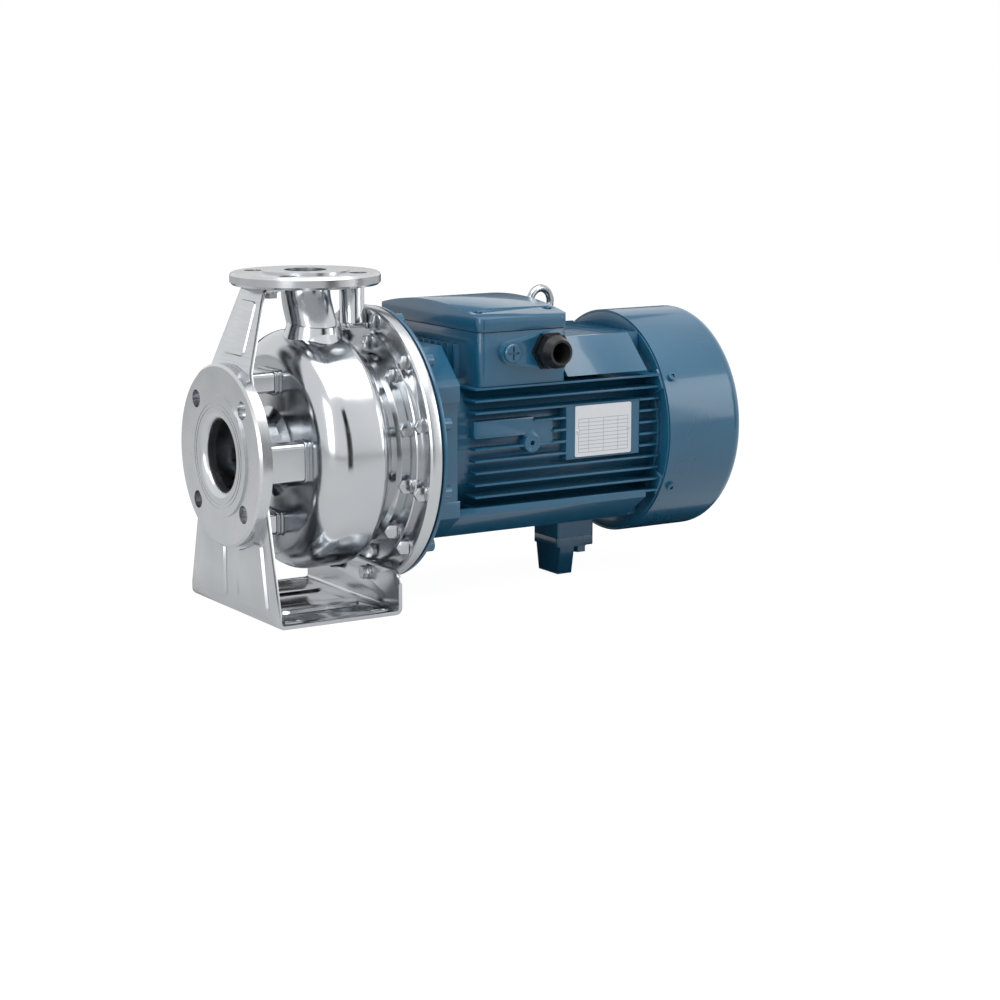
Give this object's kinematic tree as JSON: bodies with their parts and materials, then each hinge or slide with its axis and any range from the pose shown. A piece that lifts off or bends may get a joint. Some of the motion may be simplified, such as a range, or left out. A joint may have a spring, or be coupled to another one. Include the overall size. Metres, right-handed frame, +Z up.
{
  "type": "centrifugal pump",
  "caption": "Close-coupled end-suction centrifugal pump with flanged ports, pressed stainless casing on a bent sheet foot, and a finned electric motor.",
  "frame": {"origin": "underside of the foot, straight below the crossing of the shaft axis and the discharge axis", "axes": "+X along the shaft from the suction flange to the motor, +Z up along the discharge axis"},
  "size_m": [0.562, 0.281, 0.34],
  "materials": {
    "stainless_polished": "polished",
    "stainless_machined": "machined",
    "stainless_sheet": "satin",
    "stainless_screw": "satin",
    "zinc_steel": "zinc plated",
    "shaft_steel": "ground",
    "bearing_steel": "ground",
    "support_steel": "satin",
    "motor_paint": "semi-gloss",
    "lamination": "matte",
    "copper_winding": "enamelled",
    "cast_aluminium": "cast",
    "plate_aluminium": "satin",
    "rubber_black": "matte",
    "gland_plastic": "satin",
    "plug_plastic": "satin",
    "fan_plastic": "matte",
    "board_plastic": "matte",
    "stud_brass": "bright",
    "seal_ceramic": "lapped",
    "seal_carbon": "lapped"
  },
  "bodies": {
    "pump_frame": {"adapter_bolts": "stainless_screw", "adapter_ring": "stainless_machined", "arm_screws": "stainless_screw", "back_cover": "stainless_sheet", "blanking_plug": "plug_plastic", "casing_bolts": "stainless_screw", "casing_o_ring": "rubber_black", "discharge_flange": "stainless_machined", "discharge_pipe": "stainless_polished", "discharge_stay": "stainless_polished", "drive_bearing_outer": "bearing_steel", "fan_cover": "motor_paint", "fan_cover_screws": "zinc_steel", "foot_bolts": "stainless_screw", "foot_bracket": "stainless_sheet", "foot_spacers": "stainless_machined", "gland_body": "gland_plastic", "gland_nut": "gland_plastic", "gland_seal": "rubber_black", "lid_screws": "zinc_steel", "lifting_eye": "zinc_steel", "motor_bracket": "motor_paint", "motor_housing": "motor_paint", "motor_support": "support_steel", "nameplate": "plate_aluminium", "plate_rivets": "plate_aluminium", "pump_casing": "stainless_polished", "rear_bearing_outer": "bearing_steel", "rear_endshield": "motor_paint", "seal_seat": "seal_ceramic", "seal_seat_cup": "rubber_black", "shield_screws": "zinc_steel", "side_plug": "zinc_steel", "stator_core": "lamination", "stator_windings": "copper_winding", "suction_flange": "stainless_machined", "suction_stays": "stainless_polished", "support_screws": "zinc_steel", "terminal_board": "board_plastic", "terminal_box": "motor_paint", "terminal_gasket": "rubber_black", "terminal_lid": "motor_paint", "terminal_studs": "stud_brass", "wear_ring": "stainless_machined"},
    "rotor": {"cooling_fan": "fan_plastic", "drive_bearing_inner": "bearing_steel", "fan_circlip": "zinc_steel", "impeller": "stainless_sheet", "impeller_key": "shaft_steel", "impeller_nut": "stainless_screw", "impeller_washer": "stainless_machined", "rear_bearing_inner": "bearing_steel", "rotor_core": "lamination", "rotor_end_rings": "cast_aluminium", "rotor_shaft": "shaft_steel", "seal_bellows": "rubber_black", "seal_collar": "stainless_machined", "seal_face": "seal_carbon", "shaft_slinger": "rubber_black"}
  },
  "joints": [
    {"name": "rotor_spin", "type": "hinge", "parent": "pump_frame", "child": "rotor", "pos_m": [0, 0, 0.16], "axis": [1, 0, 0], "continuous": true}
  ]
}
